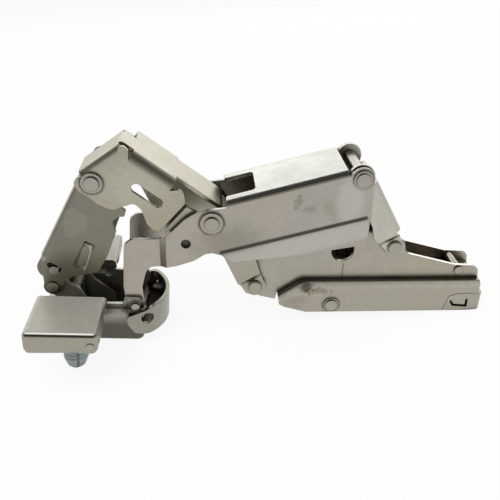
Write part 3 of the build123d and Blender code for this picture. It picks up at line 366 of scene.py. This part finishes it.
# the link bracket, closing cam and spring pin take the painted-shade nickel
BY_NODE = {
    "main_lever": LEVER, "boomerang_lever": BOOM, "front_link": FRONT, "rear_link": REAR, "casing": CASING,
    "rear_catch": CASING, "cup": CUP, "front_band": BAND, "flap_near": FLAP, "flap_far": FLAP, "link_bracket": DARK,
    "closing_cam": DARK, "spring_pin": DARK}
CAD_SHARP, PIECE_SHARP = math.radians(28), math.radians(40)


def put(obj, mat):
    obj.data.materials.clear()
    obj.data.materials.append(mat)


def smooth(mesh, sharp_from):
    """Smooth shading, except where faces meet at more than an angle."""
    for poly in mesh.polygons:
        poly.use_smooth = True
    mesh.set_sharp_from_angle(angle=sharp_from)


slots = {s["node"]: s["material_slot"] for s in frame["record"]["subparts"]}
for node_name, node_obj in NODES.items():
    smooth(node_obj.data, CAD_SHARP)
    put(node_obj, BY_NODE.get(node_name, BY_SLOT[slots[node_name]]))


# ------------------------------------------------------------------ finer pieces
def piece(name, bm, mat, body, slot, *nodes):
    """Mesh of a bmesh given in millimetres, riding on a body and standing for CAD nodes."""
    bmesh.ops.scale(bm, vec=(MM, MM, MM), verts=bm.verts)
    bmesh.ops.recalc_face_normals(bm, faces=bm.faces)
    mesh = bpy.data.meshes.new(name)
    bm.to_mesh(mesh)
    bm.free()
    smooth(mesh, PIECE_SHARP)
    obj = bpy.data.objects.new(name, mesh)
    bpy.context.scene.collection.objects.link(obj)
    put(obj, mat)
    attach(obj, body)
    if nodes:
        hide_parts(*nodes)


def skin(bm, rings, closed=False):
    """Quads between rings of vertices; the first and last ring are capped unless the rings close."""
    last = len(rings) if closed else len(rings) - 1
    for i in range(last):
        a, b = rings[i], rings[(i + 1) % len(rings)]
        for j in range(len(a)):
            k = (j + 1) % len(a)
            bm.faces.new((a[j], a[k], b[k], b[j]))
    if not closed:
        bm.faces.new(rings[0])
        bm.faces.new(rings[-1])


def wire(bm, points, radius, sides):
    """Round wire along points, with its section carried along the path."""
    normal = None
    rings = []
    for i, p in enumerate(points):
        ahead = points[min(i + 1, len(points) - 1)] - points[max(i - 1, 0)]
        ahead.normalize()
        if normal is None:
            normal = ahead.orthogonal().normalized()
        normal = (normal - ahead * normal.dot(ahead)).normalized()
        side = ahead.cross(normal)
        rings.append([bm.verts.new(p + radius * (math.cos(a) * normal + math.sin(a) * side))
                      for a in (2 * math.pi * k / sides for k in range(sides))])
    skin(bm, rings)


CUP_TILT = math.radians(-2.5)
DOOR_X = Vector((math.cos(CUP_TILT), 0, math.sin(CUP_TILT)))
DOOR_Z = Vector((-math.sin(CUP_TILT), 0, math.cos(CUP_TILT)))
CUP_AT = Vector((-71.9, 0, -7.2))


def of_cup(u, y, w):
    """Point given from the centre of the cup's bore, in the plane of the door (mm)."""
    return CUP_AT + DOOR_X * u + Vector((0, y, 0)) + DOOR_Z * w


# ribbed dowels
DOWEL_U, DOWEL_Y = -11.0, 21.0
DOWEL_BORE, DOWEL_SIDES = 1.7, 64
RIB_TOP, RIB_END, RIB_PITCH = -0.6, -10.2, 1.35
SLIT_DEPTH, SLIT_FROM = 0.45, -2.0
SLIT_STEPS = DOWEL_SIDES // 4       # four slits round the dowel, each two steps wide


def ribbed_dowel(side, word):
    """Dowel with its head, waist, saw-tooth ribs and four slits, turned about its own axis."""
    line = [(DOWEL_BORE, 2.0), (4.3, 2.0), (4.6, 1.8), (4.6, 1.22), (3.55, 1.22), (3.55, 0.0), (3.9, -0.02)]
    level = RIB_TOP
    while level > RIB_END:
        line += [(3.93, level), (3.93, level - 0.5), (3.52, level - 0.62), (3.56, level - 0.9)]
        level -= RIB_PITCH
    line += [(3.90, -10.4), (3.2, -12.6), (2.9, -13.38), (DOWEL_BORE, -13.38)]
    bm = bmesh.new()
    rings = []
    for r, level in line:
        around = []
        for k in range(DOWEL_SIDES):
            a = 2 * math.pi * k / DOWEL_SIDES
            slit = SLIT_DEPTH if k % SLIT_STEPS in (3, 4) and level < SLIT_FROM and r > 2.0 else 0.0
            u, y = (r - slit) * math.cos(a), (r - slit) * math.sin(a)
            around.append(bm.verts.new(of_cup(DOWEL_U + u, side * DOWEL_Y + y, level)))
        rings.append(around)
    skin(bm, rings, closed=True)
    piece("dowel_ribbed_" + word, bm, ZINC, "cup_body", "dowel_zinc", "dowel_" + word)


ribbed_dowel(-1, "near")
ribbed_dowel(1, "far")

# closing spring: a coil about the spring pin, with its ends down on the tub's floor
COIL_R, COIL_HALF, COIL_TURNS, COIL_STEPS, COIL_WIRE = 2.45, 5.0, 9, 18, 0.5
coil_at = of_cup(-14.7, 0, 3.1)
foot = of_cup(-8.6, 0, -9.3)
heel = foot + Vector((-1.6, 0, 2.2))
total = COIL_TURNS * COIL_STEPS
coil = [Vector((coil_at.x + COIL_R * math.cos(2 * math.pi * i / COIL_STEPS), -COIL_HALF + 2 * COIL_HALF * i / total,
                coil_at.z + COIL_R * math.sin(2 * math.pi * i / COIL_STEPS))) for i in range(total + 1)]
leg_near = [Vector((at.x, -COIL_HALF, at.z)) for at in (foot, heel)]
leg_far = [Vector((at.x, COIL_HALF, at.z)) for at in (heel, foot)]
bm = bmesh.new()
wire(bm, leg_near + coil + leg_far, COIL_WIRE, 10)
piece("closing_spring_coil", bm, SPRING, "cup_body", "spring_steel", "closing_spring")

# return spring of the catch, inside the box of the plain sleeve that it stands for
CATCH_R, CATCH_TURNS, CATCH_STEPS, CATCH_WIRE, CATCH_INSET = 1.58, 11, 16, 0.29, 0.3
low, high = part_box("catch_spring")
axis_z = (low.z + high.z) / 2 / MM
length = (high.x - low.x) / MM - 2 * CATCH_INSET
total = CATCH_TURNS * CATCH_STEPS
points = []
for i in range(total + 1):
    a = 2 * math.pi * i / CATCH_STEPS
    points.append(Vector((low.x / MM + CATCH_INSET + length * i / total,
                          CATCH_R * math.cos(a), axis_z + CATCH_R * math.sin(a))))
bm = bmesh.new()
wire(bm, points, CATCH_WIRE, 8)
piece("catch_spring_coil", bm, SPRING, "arm", "spring_steel", "catch_spring")

# strips beside the window in the main lever's web, with the bends they run into
WEB_FROM, WEB_TO = (4.2, 6.8), (41.0, 16.8)
WEB_HALF, STRIP_INNER, SHEET, WEB_BEND = 12.02, 7.35, 1.2, 1.92
BEND_STEPS = 8
# distance along the web, and how far the inner edge is moved there
STRIP_STATIONS = ((0.25, 0.5), (0.5, 0.15), (0.9, 0.0), (8.6, 0.0), (9.2, -0.25), (9.6, -0.9), (9.8, -1.7))


def window_strip(side, word):
    """Strip of the main lever's web that stays beside its window, with the bend it runs into."""
    slope = math.atan2(WEB_TO[1] - WEB_FROM[1], WEB_TO[0] - WEB_FROM[0])
    along = Vector((math.cos(slope), 0, math.sin(slope)))
    out = Vector((-math.sin(slope), 0, math.cos(slope)))
    x, z = knee(*WEB_FROM)
    start = Vector((x, 0, z))
    edge = [-SHEET, 0.0]
    rest = []
    for k in range(BEND_STEPS + 1):
        a = math.pi / 2 * (1 - k / BEND_STEPS)
        rest.append((WEB_HALF - WEB_BEND + WEB_BEND * math.cos(a), -WEB_BEND + 0.02 + WEB_BEND * math.sin(a)))
    rest += [(WEB_HALF - SHEET, -WEB_BEND), (WEB_HALF - SHEET - 0.3, -SHEET - 0.2), (WEB_HALF - WEB_BEND, -SHEET)]
    bm = bmesh.new()
    rings = []
    for reach, trim in STRIP_STATIONS:
        section = [(STRIP_INNER + trim, height) for height in edge] + rest
        rings.append([bm.verts.new(start + along * reach + out * height + Vector((0, side * y, 0)))
                      for y, height in section])
    skin(bm, rings)
    piece("window_strip_" + word, bm, LEVER, "main", "nickel_sheet")


window_strip(-1, "near")
window_strip(1, "far")

# rectangle pressed out of the front link's near side, with sloping rims
PAD_CORNERS = [knee(*at) for at in ((-40.0, -8.0), (-37.1, -9.4), (-40.1, -18.5), (-43.4, -17.0))]
PAD_RINGS = ((-8.6, 1.0), (-8.81, 1.0), (-8.965, 0.80), (-8.98, 0.76))      # level across the hinge, and scale
mid = Vector((sum(x for x, _ in PAD_CORNERS) / 4, sum(z for _, z in PAD_CORNERS) / 4))
bm = bmesh.new()
rings = []
for y, scale in PAD_RINGS:
    spots = [mid + (Vector(corner) - mid) * scale for corner in PAD_CORNERS]
    rings.append([bm.verts.new((spot.x, y, spot.y)) for spot in spots])
skin(bm, rings)
upright = [e for e in bm.edges if abs(e.verts[0].co.y - e.verts[1].co.y) > 0.005]
bmesh.ops.bevel(bm, geom=upright, offset=0.35, segments=3, affect="EDGES")
piece("front_link_pad", bm, PAD, "front", "nickel_sheet")

# plate that closes the front band underneath, from the tub's flat front to the band's curved wall
FLOOR_FRONT, FLOOR_R, FLOOR_SIDE, FLOOR_LOW, FLOOR_HIGH, FLOOR_STEPS = 9.6, 16.2, 12.6, -7.2, -6.1, 24
start = math.asin(FLOOR_SIDE / FLOOR_R)
outline = [(FLOOR_FRONT, -FLOOR_SIDE)]
for k in range(FLOOR_STEPS + 1):
    a = -start + 2 * start * k / FLOOR_STEPS
    outline.append((FLOOR_R * math.cos(a), FLOOR_R * math.sin(a)))
outline.append((FLOOR_FRONT, FLOOR_SIDE))
bm = bmesh.new()
skin(bm, [[bm.verts.new(of_cup(u, y, level)) for u, y in outline] for level in (FLOOR_LOW, FLOOR_HIGH)])
# painted shade: the plate takes the darker nickel of parts in shadow
piece("front_band_floor", bm, DARK, "cup_body", "nickel_sheet")


def sheet_patch(name, outline, y_from, y_to, mat, body):
    """Flat plate of a side-view outline (mm, seen from the knee) between two levels across the hinge."""
    flat = [knee(*at) for at in outline]
    bm = bmesh.new()
    skin(bm, [[bm.verts.new((x, y, z)) for x, z in flat] for y in (y_from, y_to)])
    piece(name, bm, mat, body, "nickel_sheet")


ROUND_STEPS = 32


def round_outline(centre, radius):
    """Side-view circle (mm)."""
    turn = 2 * math.pi / ROUND_STEPS
    return [(centre[0] + radius * math.cos(turn * k), centre[1] + radius * math.sin(turn * k))
            for k in range(ROUND_STEPS)]


# stand-ins, not known from the real hinge: dark blanks behind holes that the photograph shows dark, and a
# cover over a part of the far slot, which the photograph shows only as a wedge through the near one
# the blanks are painted shade: dark sheets where the holes show only shadow
LEVER_HOLE, BAND_HOLE, BAND_OUT = (-8.0, -7.2), (-21.0, -34.0), 13.4
CATCH_SLOT = [(80.9, -33.8), (88.3, -33.8), (88.3, -29.9), (80.9, -29.9)]
FAR_SLOT = [(-23.6, 3.7), (-22.0, 5.7), (-13.1, -1.5), (-15.3, -7.4), (-19.4, -5.4)]
for side, word in ((-1, "near"), (1, "far")):
    sheet_patch("main_lever_hole_back_" + word, round_outline(LEVER_HOLE, 2.1),
                side * 10.45, side * 10.79, DEEP, "main")
    sheet_patch("rear_catch_slot_back_" + word, CATCH_SLOT, side * 7.95, side * 8.25, DEEP, "catch")
sheet_patch("front_band_far_plug", round_outline(BAND_HOLE, 1.95), BAND_OUT - 1.1, BAND_OUT - 0.2, DEEP, "cup_body")
sheet_patch("boomerang_slot_cover", FAR_SLOT, 10.25, 10.39, BOOM, "boomerang")

# ------------------------------------------------------------------ floor
# the hinge stands on its dowels and on the rear end of its casing, given from the knee (mm)
DOWEL_FOOT, CASING_FOOT = (-43.5, -45.9), (87.8, -34.8)
SEAT_TILT = math.atan2(CASING_FOOT[1] - DOWEL_FOOT[1], CASING_FOOT[0] - DOWEL_FOOT[0])
FLOOR_HALF = 1.5            # metres
WHITE = (1.0, 1.0, 1.0)

floor_mat = bpy.data.materials.new("floor_pale")
floor_mat.use_nodes = True
tree = Tree(floor_mat.node_tree)
paper = tree.add("BsdfPrincipled")
tree.wire(paper.inputs["Base Color"], (0.90, 0.90, 0.895))
tree.wire(paper.inputs["Roughness"], 0.9)
tree.wire(paper.inputs["Specular IOR Level"], 0.1)
paths = tree.add("LightPath")
glow = tree.add("Emission")
tree.wire(glow.inputs[0], WHITE)
shown = tree.math("MAXIMUM", paths.outputs["Is Camera Ray"], tree.math(
    "MAXIMUM", paths.outputs["Is Glossy Ray"], paths.outputs["Is Transmission Ray"]))
paper_mix = tree.add("MixShader")
tree.wire(paper_mix.inputs[0], tree.math("MULTIPLY", shown, 0.90))      # the rest keeps the object's shadow
tree.links.new(paper.outputs[0], paper_mix.inputs[1])
tree.links.new(glow.outputs[0], paper_mix.inputs[2])
tree.links.new(paper_mix.outputs[0], tree.add("OutputMaterial").inputs[0])

mesh = bpy.data.meshes.new("floor")
corners = [(-1, -1), (1, -1), (1, 1), (-1, 1)]
mesh.from_pydata([(FLOOR_HALF * x, FLOOR_HALF * y, 0.0) for x, y in corners], [], [(0, 1, 2, 3)])
floor = bpy.data.objects.new("floor", mesh)
bpy.context.scene.collection.objects.link(floor)
foot_x, foot_z = knee(*DOWEL_FOOT)
floor.location = Vector((foot_x, 0.0, foot_z)) * MM
floor.rotation_euler = (0, -SEAT_TILT, 0)
put(floor, floor_mat)

# ------------------------------------------------------------------ world
world = bpy.data.worlds.new("studio")
bpy.context.scene.world = world
world.use_nodes = True
tree = Tree(world.node_tree)
way = tree.add("SeparateXYZ")
tree.wire(way.inputs[0], tree.add("TexCoord").outputs["Generated"])
up_down = tree.remap(way.outputs["Z"], -1.0, 1.0)


def greys(stops):
    """Slightly warm greys from straight down (0) over the horizon (0.5) to straight up (1)."""
    return tree.ramp(up_down, [(place, (v, v * 0.99, v * 0.965)) for place, v in stops])


# the surround that metal reflects: white near the horizon and dark overhead, darker on the camera's side
behind = greys([(0.0, 0.9), (0.47, 0.95), (0.52, 1.0), (0.70, 1.0), (0.77, 0.80), (0.82, 0.50), (0.87, 0.06),
                (0.93, 0.03), (1.0, 0.10)])
before = greys([(0.0, 0.9), (0.46, 0.85), (0.56, 0.50), (0.70, 0.30), (0.80, 0.10), (0.93, 0.03), (1.0, 0.10)])
surround = tree.mix(tree.remap(way.outputs["Y"], -0.20, 0.25), before, behind)
backs = []
for colour, strength in ((surround, 1.0), (WHITE, 1.0), ((1.0, 0.995, 0.98), 0.60)):
    back = tree.add("Background")
    tree.wire(back.inputs[0], colour)
    tree.wire(back.inputs[1], strength)
    backs.append(back.outputs[0])
reflected, plain, soft_light = backs
paths = tree.add("LightPath")
unseen = tree.add("MixShader")
tree.wire(unseen.inputs[0], paths.outputs["Is Glossy Ray"])
tree.links.new(soft_light, unseen.inputs[1])
tree.links.new(reflected, unseen.inputs[2])
seen = tree.add("MixShader")
tree.wire(seen.inputs[0], tree.math("MAXIMUM", paths.outputs["Is Camera Ray"], paths.outputs["Is Transmission Ray"]))
tree.links.new(unseen.outputs[0], seen.inputs[1])
tree.links.new(plain, seen.inputs[2])
tree.links.new(seen.outputs[0], tree.add("OutputWorld").inputs[0])


# ------------------------------------------------------------------ lamps
def lamp(name, loc, target, size, power, colour=WHITE, glint=False):
    """Rectangular softbox at a place (mm) turned to a target (mm), of a size in metres."""
    data = bpy.data.lights.new(name, "AREA")
    data.shape = "RECTANGLE"
    data.size, data.size_y = size
    data.energy = power
    data.color = colour
    obj = bpy.data.objects.new(name, data)
    bpy.context.scene.collection.objects.link(obj)
    obj.location = Vector(loc) * MM
    obj.rotation_euler = (Vector(target) * MM - obj.location).to_track_quat("-Z", "Y").to_euler()
    obj.visible_glossy = glint


lamp("key", (-350, -250, 650), (-20, 0, 10), (0.5, 0.5), 2.3, (1.0, 0.985, 0.96))
lamp("back", (-60, 700, 305), (-20, 0, 20), (1.6, 0.34), 1.8, glint=True)
lamp("fill", (500, -400, 300), (-10, 0, 10), (0.5, 0.4), 1.2, (0.97, 0.98, 1.0))

# ------------------------------------------------------------------ camera
CAMERA_AT = tuple(c * MM for c in (-42.1, -185.4, 110.1))
CAMERA_RIGHT = Vector((0.99744, -0.06534, 0.02922))
CAMERA_UP = Vector((0.0056, 0.47822, 0.87822))
LENS, SENSOR = 45.36, 36.0

cam_data = bpy.data.cameras.new("camera")
cam_data.lens = LENS
cam_data.sensor_width = SENSOR
cam_data.clip_start = 0.01
cam = bpy.data.objects.new("camera", cam_data)
bpy.context.scene.collection.objects.link(cam)
cam.matrix_world = Matrix((
    *zip(CAMERA_RIGHT, CAMERA_UP, CAMERA_RIGHT.cross(CAMERA_UP), CAMERA_AT),
    (0, 0, 0, 1)))
bpy.context.scene.camera = cam
bpy.context.scene.view_settings.view_transform = "Standard"
